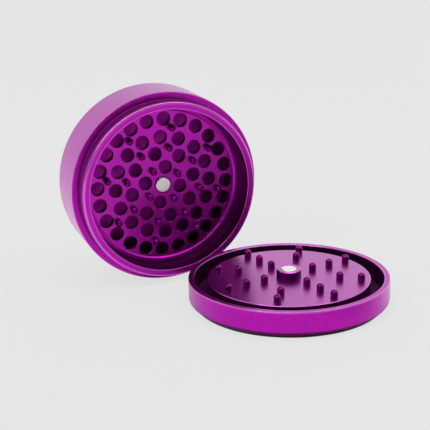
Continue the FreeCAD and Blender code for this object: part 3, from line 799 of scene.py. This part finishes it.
def fine_mottle_group():
    """Fine mottle for rubber, nylon, steel and plating: noise on the colour and the roughness."""
    group, given, result = new_group("fine_mottle", {
        "Vector": None, "Tone": (0.5, 0.5, 0.5, 1.0), "Scale": 2500.0, "Contrast": 0.2, "Roughness": 0.5})
    fine = noise_node(group, given["Vector"], given["Scale"], detail=3.0, roughness=0.5)
    centred = math_node(group, "SUBTRACT", fine, 0.5)
    change = math_node(group, "MULTIPLY_ADD", centred, given["Contrast"], 1.0)
    rough = math_node(group, "MULTIPLY_ADD", centred, given["Contrast"], given["Roughness"])
    feed(group, result, {"Color": shade_colour(group, given["Tone"], change), "Roughness": rough,
                         "Height": fine})
    return group


def empty_material(name, kind="ShaderNodeBsdfPrincipled"):
    """A material with only one shader and its output."""
    material = bpy.data.materials.new(name)
    material.use_nodes = True
    tree = material.node_tree
    tree.nodes.clear()
    shader = tree.nodes.new(kind)
    output = tree.nodes.new("ShaderNodeOutputMaterial")
    tree.links.new(shader.outputs[0], output.inputs["Surface"])
    return material, tree, shader


def feed_shader(tree, shader, surface, bump, inputs):
    """Feed a shader with a group's colour, roughness and height as bump, and with other inputs."""
    relief = {"Strength": bump, "Distance": BUMP_DISTANCE, "Height": surface["Height"]}
    feed(tree, shader, {"Base Color": surface["Color"], "Roughness": surface["Roughness"],
                        "Normal": add_node(tree, "ShaderNodeBump", relief)[0], **inputs})


def anodised(kind, in_cup, roughness, lines, grain, bump, index=None):
    """Dyed and sealed aluminium: a coloured metal with lathe lines, blasted grain and worn edges.

    The index is that of the clear oxide skin over the dye, which the bores don't have. Where the bore mark is
    set, the colour is also painted darker as shade.
    """
    name = f"{kind}_cup" if in_cup else f"{kind}_lid"
    known = bpy.data.materials.get(name)
    if known:
        return known
    finish = settings().finish
    material, tree, shader = empty_material(name)
    vector = coordinates(tree, "Object")
    if in_cup:
        lay = {"Vector": vector, "Location": CUP_ORIGIN, "Rotation": (math.pi / 2, 0.0, 0.0)}
        vector = add_node(tree, "ShaderNodeMapping", lay, vector_type="TEXTURE")[0]
    # Mark of painted shade, which also takes off the oxide skin
    bore = mark_value(tree, "painted_shade_mark")
    metal = use_group(tree, "turned_metal", turned_metal_group, {
        "Vector": vector, "Dye": (*finish.dye, 1.0), "Worn Dye": (*finish.dye_pale, 1.0),
        "Edge": mark_value(tree, "edge_mark"), "Bore": bore, "Painted Shade Depth": finish.painted_shade_depth,
        "Bore Roughness": finish.bore_roughness, "Lines": lines, "Grain": grain, "Roughness": roughness})
    skin = math_node(tree, "MULTIPLY_ADD", bore, -finish.skin, finish.skin)
    feed_shader(tree, shader, metal, bump, {
        "Metallic": 1.0, "Coat Weight": skin, "Coat Roughness": finish.skin_roughness,
        "Coat IOR": index or finish.skin_ior})
    return material


def blasted_metal(in_cup):
    """Outside of the mill: blasted, with fine lathe lines left."""
    return anodised("blasted_purple", in_cup, settings().finish.blasted, lines=0.35, grain=0.8, bump=0.45)


def turned_metal(in_cup):
    """Faces that are turned and not blasted."""
    finish = settings().finish
    return anodised("turned_purple", in_cup, finish.turned, lines=0.6, grain=0.35, bump=0.20,
                    index=finish.turned_ior)


def faced_metal():
    """Face of the rotor, turned and then etched, so that it mirrors less."""
    finish = settings().finish
    return anodised("faced_purple", False, finish.faced, lines=0.7, grain=0.5, bump=0.20,
                    index=finish.faced_ior)


def peg_metal(in_cup):
    """Pegs, rolled rather than turned: smoother, and painted darker as shade by their mark, so that their
    sides stay dark.
    """
    return anodised("peg_purple", in_cup, settings().finish.peg_roughness, lines=0.3, grain=0.2, bump=0.06)


def mottled(name, tone, roughness, contrast, scale, metallic, bump, shine=0.5):
    """A plain material with fine mottle. The shine is its specular level."""
    known = bpy.data.materials.get(name)
    if known:
        return known
    material, tree, shader = empty_material(name)
    mottle = use_group(tree, "fine_mottle", fine_mottle_group, {
        "Vector": coordinates(tree, "Object"), "Tone": (*tone, 1.0), "Scale": scale, "Contrast": contrast,
        "Roughness": roughness})
    feed_shader(tree, shader, mottle, bump, {"Metallic": metallic, "Specular IOR Level": shine})
    return material


def nickel_plate():
    """Plated magnets."""
    return mottled("nickel_plate", settings().finish.nickel, roughness=0.25, contrast=0.04, scale=3000.0,
                   metallic=1.0, bump=0.02)


def seal_rubber():
    """Dark rubber of the seals."""
    return mottled("seal_rubber", settings().finish.rubber, roughness=0.6, contrast=0.35, scale=2500.0,
                   metallic=0.0, bump=0.05, shine=0.08)


def washer_nylon():
    """Dark nylon of the slip washer."""
    return mottled("washer_nylon", settings().finish.nylon, roughness=0.6, contrast=0.25, scale=1800.0,
                   metallic=0.0, bump=0.15, shine=0.15)


def ground_steel():
    """Ground steel of the dowels."""
    return mottled("ground_steel", settings().finish.steel, roughness=0.3, contrast=0.15, scale=4000.0,
                   metallic=1.0, bump=0.1)


# Operators


def set_magnet(node, foot, top, body, in_cup):
    """Flat round magnet between two heights."""
    mill = settings()
    radius, finish = mill.pattern.magnet, mill.finish
    turned_piece(node, (
        (0.0, foot, 0.0), (radius, foot, finish.fine_edge), (radius, top, finish.turned_edge),
        (0.0, top, 0.0)), nickel_plate(), body, in_cup=in_cup, segments=HOLE_SEGMENTS)


def set_peg(node, middle, foot, face, body, in_cup):
    """Peg with a domed end.

    The dome is an arc of radius (r * r + d * d) / 2 d for peg radius r and rise d.
    """
    mill = settings()
    pattern, finish = mill.pattern, mill.finish
    top = face + pattern.peg_height
    shoulder = top - pattern.peg_dome
    round_radius = (pattern.peg ** 2 + pattern.peg_dome ** 2) / (2 * pattern.peg_dome)
    spread = math.asin(pattern.peg / round_radius)
    angle = np.linspace(spread, 0.0, DOME_POINTS)
    dome = np.stack([round_radius * np.sin(angle), top - round_radius * (1 - np.cos(angle))], -1)
    dome_normals = np.stack([np.sin(angle), np.cos(angle)], -1)
    dome[-1, 0] = 0.0
    side = np.array([(0.0, foot), (pattern.peg - PEG_BREAK, foot), (pattern.peg, foot + PEG_BREAK),
                     (pattern.peg, face), (pattern.peg, shoulder - DOME_RUN)])
    side_normals = np.array([(0.0, -1.0), (0.0, -1.0), (1.0, 0.0), (1.0, 0.0), (1.0, 0.0)])
    rows = np.concatenate([side, dome])
    normals = np.concatenate([side_normals, dome_normals])
    # Painted shade: every point of a peg gets a darker colour
    marks = np.tile((0.0, finish.peg_painted_shade), (len(rows), 1))
    points, *others = turned_surface((rows, normals, marks), PEG_SEGMENTS, False)
    make_piece(node, (points + (*middle, 0.0), *others), peg_metal(in_cup), body, in_cup=in_cup)


class MILL_OT_cup(bpy.types.Operator):
    """Turn the collecting cup with its threaded bore"""
    bl_idname = "mill.cup"
    bl_label = "Collecting cup"

    def execute(self, context):
        mill = context.scene.hand_mill
        body, thread, finish = mill.body, mill.thread, mill.finish
        big, fine, base = finish.turned_edge, finish.fine_edge, finish.base_edge
        last_turn = (body.shoulder - thread.start) / thread.lead + 1.0
        groove = ridge_relief(thread, thread.lead_in, last_turn, thread.room)
        turned_piece("collection_cup", (
            (0.0, 0.0, 0.0), (body.outer - body.base_bevel, 0.0, base), (body.outer, body.base_bevel, base),
            (body.outer, body.shoulder, fine), (body.bore, body.shoulder, fine), (body.bore, body.step, fine),
            (body.chamber, body.step, fine), (body.chamber, body.cup_floor, big), (0.0, body.cup_floor, 0.0)),
            blasted_metal(True), "cup", in_cup=True,
            # Painted shade: the threaded bore and the chamber wall inside the cup get a darker colour
            bores=((body.bore, body.cup_floor + big, body.shoulder - fine),),
            thread=(body.bore, body.step, body.shoulder - fine, groove))
        return {"FINISHED"}


class MILL_OT_mill_ring(bpy.types.Operator):
    """Turn the mill ring with its threaded neck, the round seal and the ring that holds the plate"""
    bl_idname = "mill.mill_ring"
    bl_label = "Mill ring"

    def execute(self, context):
        mill = context.scene.hand_mill
        body, thread, finish = mill.body, mill.thread, mill.finish
        fine = finish.fine_edge
        flange = body.shoulder + body.flange
        groove_foot = body.shoulder + body.groove_foot
        groove_top = body.shoulder + body.groove_top
        taper_foot = body.plate_face + body.retainer
        ridge = ridge_relief(thread, 0.0, thread.turns, 0.0)
        turned_piece("mill_ring", (
            (body.ledge, body.neck_foot, fine), (body.neck, body.neck_foot, fine), (body.neck, flange, fine),
            (body.spigot, flange, fine), (body.spigot, groove_foot, finish.turned_edge),
            (body.groove, groove_foot, fine), (body.groove, groove_top, fine),
            (body.spigot, groove_top, fine), (body.spigot, body.rim, finish.rim_edge),
            (body.mouth, body.rim, fine), (body.seat, taper_foot, fine), (body.seat, body.plate_back, fine),
            (body.ledge, body.plate_back, fine)),
            turned_metal(True), "mill", in_cup=True, closed=True,
            # Painted shade: the mouth wall inside the spigot gets a darker colour
            bores=((body.mouth, body.plate_face, body.rim - fine),),
            thread=(body.neck, body.neck_foot, flange, ridge))
        turned_piece("plate_retainer", (
            (body.plate - body.retainer_foot, body.plate_face, finish.seat_edge),
            (body.plate, body.plate_face, fine), (body.plate, taper_foot, fine),
            (body.plate - body.retainer_crest, taper_foot, finish.base_edge)),
            blasted_metal(True), "mill", in_cup=True, closed=True, worn=False)
        self.round_seal(body)
        return {"FINISHED"}

    def round_seal(self, body):
        """Ring of round section: r = ring + half cos u, z = height + half sin u, turned about the axis."""
        angle = np.linspace(0, FULL_TURN, SEAL_STEPS, endpoint=False)
        normals = np.stack([np.cos(angle), np.sin(angle)], -1)
        middle = np.array([body.seal_ring, body.shoulder + body.seal_height])
        profile = (middle + body.seal_half * normals, normals, np.zeros((SEAL_STEPS, 2)))
        surface = turned_surface(profile, TURN_SEGMENTS, True)
        make_piece("spigot_o_ring", surface, seal_rubber(), "mill", in_cup=True)


class MILL_OT_plate(bpy.types.Operator):
    """Drill the milling plate and set its magnet"""
    bl_idname = "mill.plate"
    bl_label = "Milling plate"

    def execute(self, context):
        mill = context.scene.hand_mill
        body, pattern, finish = mill.body, mill.pattern, mill.finish
        face = body.plate_face
        disc = DrilledDisc(body.plate, body.plate_back, face, finish.fine_edge)
        for ring in PLATE_HOLES:
            start = pattern.plate_turn + math.pi / ring[0]
            for _, x, y in ring_places((ring,), pattern, start):
                disc.through_hole((x, y), pattern.hole, pattern.hole_break, HOLE_SEGMENTS)
        for _, x, y in ring_places(PLATE_PEGS, pattern, pattern.plate_turn):
            disc.through_hole((x, y), pattern.peg, finish.seat_edge, PEG_SEGMENTS)
        pocket = face - pattern.magnet_sunk
        moat = (pattern.magnet + pattern.moat, face - pattern.moat_depth)
        disc.blind_hole((0.0, 0.0), (moat, (pattern.magnet, pocket)), finish.seat_edge, HOLE_SEGMENTS)
        make_piece("milling_plate", disc.surface(), turned_metal(True), "mill", in_cup=True)
        set_magnet("plate_magnet", pocket, face + pattern.plate_magnet_out, "mill", True)
        return {"FINISHED"}


class MILL_OT_plate_pegs(bpy.types.Operator):
    """Set the round pegs of the milling plate"""
    bl_idname = "mill.plate_pegs"
    bl_label = "Plate pegs"

    def execute(self, context):
        mill = context.scene.hand_mill
        body, pattern = mill.body, mill.pattern
        for number, x, y in ring_places(PLATE_PEGS, pattern, pattern.plate_turn):
            set_peg(f"plate_peg_{number:02d}", (x, y), body.plate_back, body.plate_face, "mill", True)
        return {"FINISHED"}


class MILL_OT_rotor_pegs(bpy.types.Operator):
    """Set the round pegs of the rotor"""
    bl_idname = "mill.rotor_pegs"
    bl_label = "Rotor pegs"

    def execute(self, context):
        mill = context.scene.hand_mill
        lid, pattern = mill.lid, mill.pattern
        foot = lid.rotor_face - pattern.peg_seat
        for number, x, y in ring_places(ROTOR_PEGS, pattern, pattern.rotor_turn):
            set_peg(f"rotor_peg_{number:02d}", (x, y), foot, lid.rotor_face, "lid", False)
        return {"FINISHED"}


class MILL_OT_lid(bpy.types.Operator):
    """Turn the lid, its slip washer, the rotor disc and the hub, and set the lid's magnet"""
    bl_idname = "mill.lid"
    bl_label = "Lid and rotor"

    def execute(self, context):
        mill = context.scene.hand_mill
        lid, pattern, finish = mill.lid, mill.pattern, mill.finish
        big, fine = finish.turned_edge, finish.fine_edge
        shank_foot = lid.rotor_back - lid.shank_reach
        turned_piece("lid_shell", (
            (0.0, 0.0, 0.0), (lid.outer - lid.bevel, 0.0, finish.base_edge),
            (lid.outer, lid.bevel, finish.soft_edge), (lid.outer, lid.height, big),
            (lid.skirt, lid.height, big), (lid.skirt, lid.floor, fine), (lid.rotor, lid.floor, fine),
            (lid.rotor, lid.rotor_back, fine), (lid.shank, lid.rotor_back, fine),
            (lid.shank, shank_foot, fine), (0.0, shank_foot, 0.0)),
            blasted_metal(False), "lid",
            # Painted shade: the inside of the skirt and the bevel round the outer face, next to the floor,
            # get a darker colour
            bores=((lid.skirt, lid.floor / 2, lid.height - big), (lid.outer, fine, lid.bevel + fine)))
        inner = lid.rotor + lid.washer_room
        outer = lid.skirt - lid.washer_room
        foot = lid.washer_foot
        top = foot + lid.washer
        turned_piece("slip_washer", (
            (inner, foot, fine), (outer, foot, fine), (outer, top, fine), (inner, top, fine)),
            washer_nylon(), "washer", closed=True)
        self.rotor_disc(lid, pattern, finish)
        self.hub(lid, pattern, fine, shank_foot)
        return {"FINISHED"}

    def rotor_disc(self, lid, pattern, finish):
        """Disc with blind seats for the pegs and a bore for the hub's shank."""
        disc = DrilledDisc(lid.rotor, lid.rotor_back, lid.rotor_face, finish.turned_edge)
        disc.through_hole((0.0, 0.0), lid.shank, finish.seat_edge, HOLE_SEGMENTS)
        seat = (pattern.peg, lid.rotor_face - pattern.peg_seat)
        for _, x, y in ring_places(ROTOR_PEGS, pattern, pattern.rotor_turn):
            disc.blind_hole((x, y), (seat,), finish.seat_edge, PEG_SEGMENTS)
        make_piece("rotor_disc", disc.surface(), faced_metal(), "lid")

    def hub(self, lid, pattern, fine, shank_foot):
        """Boss on a shank, with a magnet in its pocket."""
        top = lid.rotor_face + lid.hub_height
        bevel_foot = top - lid.hub_bevel
        pocket = top - pattern.magnet_sunk
        turned_piece("rotor_hub", (
            (0.0, shank_foot, 0.0), (lid.shank, shank_foot, fine), (lid.shank, lid.rotor_face, fine),
            (lid.hub, lid.rotor_face, fine), (lid.hub, bevel_foot, fine),
            (lid.hub - lid.hub_bevel, top, fine), (pattern.magnet, top, fine),
            (pattern.magnet, pocket, fine), (0.0, pocket, 0.0)),
            # Painted shade: the side of the boss gets a darker colour
            turned_metal(False), "lid", segments=HUB_SEGMENTS, bores=((lid.hub, lid.rotor_face, bevel_foot),))
        set_magnet("lid_magnet", pocket, top + lid.magnet_out, "lid", False)


class MILL_OT_inner_pieces(bpy.types.Operator):
    """Give the flat seal and the dowels, which keep their solids, their materials"""
    bl_idname = "mill.inner_pieces"
    bl_label = "Inner pieces"

    def execute(self, context):
        for node, material in (("cup_gasket", seal_rubber()), ("rotor_dowel_1", ground_steel()),
                               ("rotor_dowel_2", ground_steel())):
            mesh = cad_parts[node].data
            mesh.materials.clear()
            mesh.materials.append(material)
        return {"FINISHED"}


class MILL_OT_stage(bpy.types.Operator):
    """Set up the floor, the light and the camera"""
    bl_idname = "mill.stage"
    bl_label = "Stage"

    def execute(self, context):
        stage = context.scene.hand_mill.stage
        context.scene.view_settings.view_transform = "Standard"
        self.camera(context, stage)
        self.floor(context, stage)
        self.world(context, stage)
        self.lamp(context, stage)
        return {"FINISHED"}

    def camera(self, context, stage):
        """Camera at the photograph's place."""
        data = bpy.data.cameras.new("camera")
        data.lens = stage.lens
        data.sensor_width = FRAME_WIDTH
        data.clip_start, data.clip_end = CAMERA_RANGE
        camera = bpy.data.objects.new("camera", data)
        context.scene.collection.objects.link(camera)
        ahead = Vector((math.sin(stage.heading) * math.cos(stage.dip),
                        math.cos(stage.heading) * math.cos(stage.dip), -math.sin(stage.dip)))
        camera.location = stage.eye
        level = ahead.to_track_quat("-Z", "Y")
        camera.rotation_euler = (level @ Quaternion((0, 0, 1), stage.roll)).to_euler()
        context.scene.camera = camera

    def floor(self, context, stage):
        """Round pale floor: x = r cos t, y = r sin t, z = 0."""
        radius = np.array(FLOOR_RADII)
        count = len(radius)
        profile = (np.stack([radius, np.zeros(count)], -1), np.tile((0.0, 1.0), (count, 1)), np.zeros(count))
        points, _, _, quads, triangles = turned_surface(profile, FLOOR_SEGMENTS, False)
        faces = np.concatenate([quads[:, [3, 2, 1]], quads[:, [3, 1, 0]], triangles[:, ::-1]])
        mesh = bpy.data.meshes.new("floor")
        mesh.from_pydata(points, [], faces.tolist())
        mesh.validate()
        mesh.materials.append(self.floor_material(stage))
        floor = bpy.data.objects.new("floor", mesh)
        context.scene.collection.objects.link(floor)

    def floor_material(self, stage):
        """Pale and matt, with the backdrop's colour for the camera and a patch of painted shade that only the
        metal mirrors.
        """
        material, tree, mix = empty_material("pale_floor", "ShaderNodeMixShader")
        pale = (*stage.backdrop, 1.0)
        seen = add_node(tree, "ShaderNodeLightPath", {})
        mirrored = math_node(tree, "MAXIMUM", seen["Is Glossy Ray"], seen["Is Transmission Ray"])
        # Painted shade: a dark patch on the floor, seen only by glossy and transmission rays, darkens the
        # metal's reflections there
        away = vector_value(tree, "DISTANCE", coordinates(tree, "Object"), stage.painted_shade_patch)
        outside = smooth_step(tree, away, stage.painted_patch_inner, stage.painted_patch_outer)
        dark = math_node(tree, "MULTIPLY", math_node(tree, "SUBTRACT", 1.0, outside), stage.painted_patch_depth)
        painted_shade_patch = math_node(tree, "MULTIPLY", dark, mirrored)
        tone = mix_colour(tree, painted_shade_patch, pale, PAINTED_SHADE_BLACK)
        direct = math_node(tree, "MULTIPLY", seen["Is Camera Ray"], stage.floor_glow)
        amount = math_node(tree, "MULTIPLY_ADD", mirrored, stage.mirror_glow, direct)
        matt = add_node(tree, "ShaderNodeBsdfDiffuse", {"Color": tone})[0]
        glow = add_node(tree, "ShaderNodeEmission", {"Color": pale})[0]
        feed(tree, mix, {0: amount, 1: matt, 2: glow})
        return material

    def world(self, context, stage):
        """Pale tent, dark overhead and towards the camera, with a strip of light across it."""
        world = bpy.data.worlds.new("surroundings")
        world.use_nodes = True
        tree = world.node_tree
        way = coordinates(tree, "Generated")
        x, y, z = split_vector(tree, way)
        backwards = (-math.sin(stage.heading), -math.cos(stage.heading), 0.0)
        front = vector_value(tree, "DOT_PRODUCT", way, backwards)
        before = smooth_step(tree, front, stage.opening_outer, stage.opening_inner)
        above = smooth_step(tree, z, math.sin(stage.ceiling_foot), math.sin(stage.ceiling_top))
        dark = math_node(tree, "MAXIMUM", before, above)
        tent = mix_colour(tree, dark, (*stage.tent, 1.0), (*stage.opening, 1.0))
        away = math_node(tree, "ABSOLUTE", math_node(tree, "SUBTRACT", y, stage.seam_place))
        beside = smooth_step(tree, away, stage.seam_half / 2, stage.seam_half)
        raised = smooth_step(tree, z, stage.seam_foot, stage.seam_full)
        right = smooth_step(tree, x, stage.seam_end / 2, stage.seam_end)
        outside = math_node(tree, "MAXIMUM", beside, right)
        strip = math_node(tree, "MULTIPLY", raised, math_node(tree, "SUBTRACT", 1.0, outside))
        power = stage.seam_power
        lit = mix_colour(tree, strip, tent, (power, power, power, 1.0))
        seen = add_node(tree, "ShaderNodeLightPath", {})["Is Camera Ray"]
        shown = mix_colour(tree, seen, lit, (*stage.backdrop, 1.0))
        feed(tree, tree.nodes["Background"], {"Color": shown, "Strength": 1.0})
        context.scene.world = world

    def lamp(self, context, stage):
        """A large soft lamp above, which the metal doesn't mirror."""
        data = bpy.data.lights.new("top_lamp", "AREA")
        data.shape = "RECTANGLE"
        data.size = stage.lamp_width
        data.size_y = stage.lamp_width
        data.energy = stage.lamp_power
        lamp = bpy.data.objects.new("top_lamp", data)
        context.scene.collection.objects.link(lamp)
        lamp.location = stage.lamp
        towards = Vector(stage.lamp_aim) - Vector(stage.lamp)
        lamp.rotation_euler = towards.to_track_quat("-Z", "Y").to_euler()
        lamp.visible_glossy = False


OPERATORS = (MILL_OT_cup, MILL_OT_mill_ring, MILL_OT_plate, MILL_OT_plate_pegs, MILL_OT_lid,
             MILL_OT_rotor_pegs, MILL_OT_inner_pieces, MILL_OT_stage)


class MILL_PT_panel(bpy.types.Panel):
    """Buttons for the pieces of the mill"""
    bl_idname = "MILL_PT_panel"
    bl_label = "Hand mill"
    bl_space_type = "VIEW_3D"
    bl_region_type = "UI"
    bl_category = "Mill"

    def draw(self, context):
        for operator in OPERATORS:
            self.layout.operator(operator.bl_idname)


CLASSES = (MILL_PG_body, MILL_PG_thread, MILL_PG_pattern, MILL_PG_lid, MILL_PG_finish, MILL_PG_stage,
           MILL_PG_settings) + OPERATORS + (MILL_PT_panel,)


def register():
    """Register the classes and the settings."""
    for item in CLASSES:
        bpy.utils.register_class(item)
    bpy.types.Scene.hand_mill = bpy.props.PointerProperty(type=MILL_PG_settings)


def unregister():
    """Remove the settings and the classes."""
    del bpy.types.Scene.hand_mill
    for item in reversed(CLASSES):
        bpy.utils.unregister_class(item)


def main():
    """Build every piece in order."""
    register()
    bpy.ops.mill.cup()
    bpy.ops.mill.mill_ring()
    bpy.ops.mill.plate()
    bpy.ops.mill.plate_pegs()
    bpy.ops.mill.lid()
    bpy.ops.mill.rotor_pegs()
    bpy.ops.mill.inner_pieces()
    bpy.ops.mill.stage()


if __name__ == "__main__":
    main()
